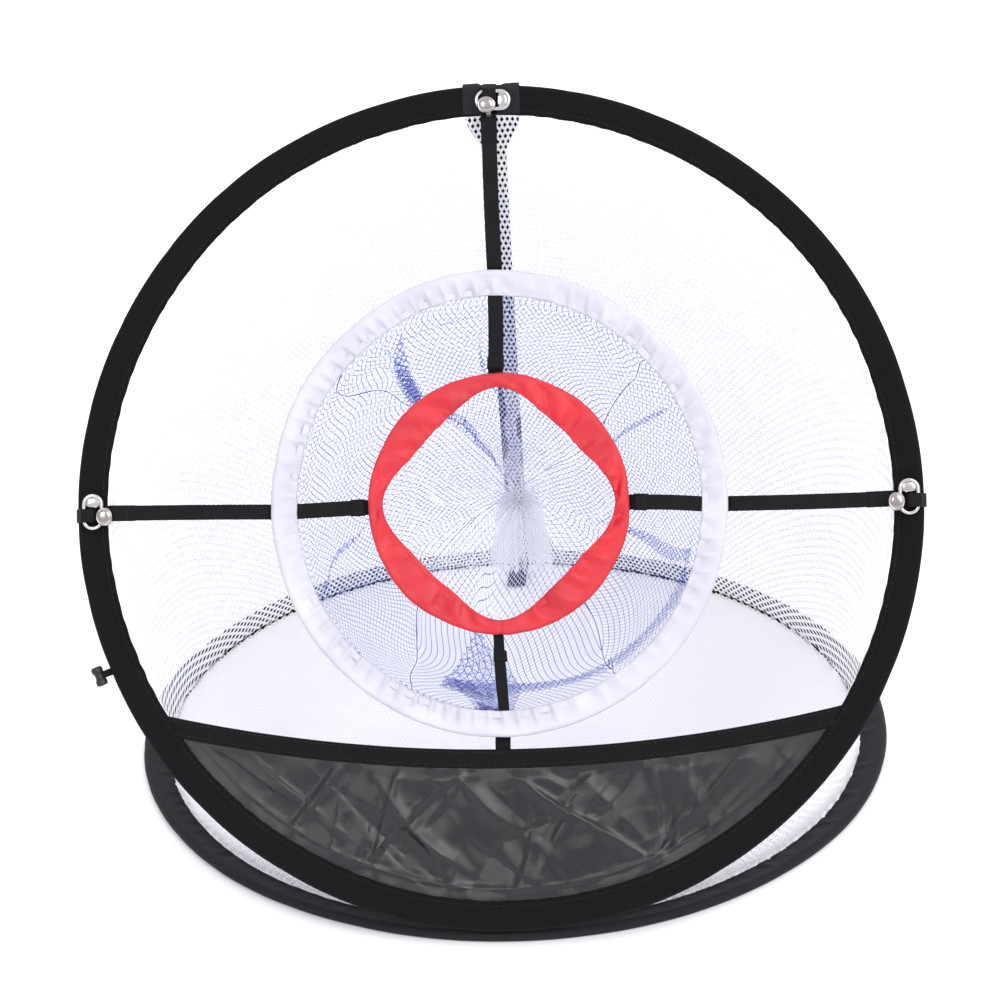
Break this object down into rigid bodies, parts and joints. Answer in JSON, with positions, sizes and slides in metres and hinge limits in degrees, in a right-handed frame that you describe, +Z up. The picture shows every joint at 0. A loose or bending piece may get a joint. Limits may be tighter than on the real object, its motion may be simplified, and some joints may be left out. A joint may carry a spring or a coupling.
{
  "type": "golf chipping net",
  "caption": "Pop-up golf chipping net: a leaning hoop hinged to a floor hoop, target rings on elastic straps with net pouches behind, and a mesh wall.",
  "frame": {"origin": "on the underside of the floor hoop's sleeve, in the middle of its front, below the line where the two hoops are sewn together", "axes": "+Z up, +Y to the back, +X to the right as the player sees it; the player stands at -Y"},
  "size_m": [0.516, 0.5184, 0.4633],
  "materials": {
    "black_sleeve": "matte",
    "black_binding": "matte",
    "black_webbing": "matte",
    "elastic_webbing": "matte",
    "pocket_cloth": "glossy",
    "white_sleeve": "satin",
    "red_sleeve": "satin",
    "white_mesh": "matte",
    "blue_mesh": "matte",
    "nickel": "polished",
    "spring_steel": "satin",
    "ferrule_steel": "satin",
    "black_plastic": "satin"
  },
  "bodies": {
    "base": {"base_hoop_sleeve": "black_sleeve", "base_hoop_wire": "spring_steel", "base_wire_ferrule": "ferrule_steel", "hinge_seam_tape": "black_webbing", "outer_net_wall": "white_mesh", "outer_net_floor": "white_mesh", "rear_spine_webbing": "black_webbing", "spine_top_gusset": "black_webbing"},
    "front_hoop": {"front_hoop_sleeve": "black_sleeve", "front_hoop_wire": "spring_steel", "front_wire_ferrule": "ferrule_steel", "pocket_hem_binding": "black_binding", "pocket_panel": "pocket_cloth", "sleeve_top_patch": "black_sleeve", "keeper_loop": "black_webbing", "clip_tab_top": "black_webbing", "clip_tab_left": "black_webbing", "clip_tab_right": "black_webbing", "outer_strap_top": "elastic_webbing", "outer_strap_left": "elastic_webbing", "outer_strap_right": "elastic_webbing", "outer_strap_bottom": "elastic_webbing"},
    "white_target": {"white_ring_sleeve": "white_sleeve", "white_ring_wire": "spring_steel", "blue_net": "blue_mesh", "inner_strap_top": "elastic_webbing", "inner_strap_left": "elastic_webbing", "inner_strap_right": "elastic_webbing", "inner_strap_bottom": "elastic_webbing"},
    "red_target": {"red_ring_sleeve": "red_sleeve", "red_ring_wire": "spring_steel", "white_net": "white_mesh"},
    "keeper_toggle": {"keeper_toggle": "black_plastic"},
    "clip_top": {"clip_ring_top": "nickel", "strap_hook_top": "nickel"},
    "clip_left": {"clip_ring_left": "nickel", "strap_hook_left": "nickel"},
    "clip_right": {"clip_ring_right": "nickel", "strap_hook_right": "nickel"}
  },
  "joints": [
    {"name": "front_fold", "type": "hinge", "parent": "base", "child": "front_hoop", "pos_m": [0, -0.001, 0.0074], "axis": [1, 0, 0], "range_deg": [-62.5, 0], "stiffness_Nm_per_rad": 0.6, "springref_deg": 68.75, "deforming": ["outer_net_wall", "rear_spine_webbing", "spine_top_gusset", "blue_net", "white_net"]},
    {"name": "white_target_give", "type": "slide", "parent": "front_hoop", "child": "white_target", "axis": [0, 0.887, -0.4617], "range_m": [-0.01, 0.03], "stiffness_N_per_m": 400},
    {"name": "red_target_give", "type": "slide", "parent": "white_target", "child": "red_target", "axis": [0, 0.887, -0.4617], "range_m": [-0.006, 0.016], "stiffness_N_per_m": 300},
    {"name": "clip_top_rock", "type": "hinge", "parent": "front_hoop", "child": "clip_top", "pos_m": [0, 0.22274, 0.46059], "axis": [1, 0, 0], "range_deg": [-6, 1.5], "stiffness_Nm_per_rad": 0.03},
    {"name": "clip_left_rock", "type": "hinge", "parent": "front_hoop", "child": "clip_left", "pos_m": [-0.2503, 0.10717, 0.23858], "axis": [0, 0.4617, 0.887], "range_deg": [-6, 1.5], "stiffness_Nm_per_rad": 0.03},
    {"name": "clip_right_rock", "type": "hinge", "parent": "front_hoop", "child": "clip_right", "pos_m": [0.2503, 0.10717, 0.23858], "axis": [0, -0.4617, -0.887], "range_deg": [-6, 1.5], "stiffness_Nm_per_rad": 0.03},
    {"name": "toggle_tilt", "type": "hinge", "parent": "front_hoop", "child": "keeper_toggle", "pos_m": [-0.24348, 0.0676, 0.14827], "axis": [0, -0.887, 0.4617], "range_deg": [-20, 20], "stiffness_Nm_per_rad": 0.01}
  ]
}
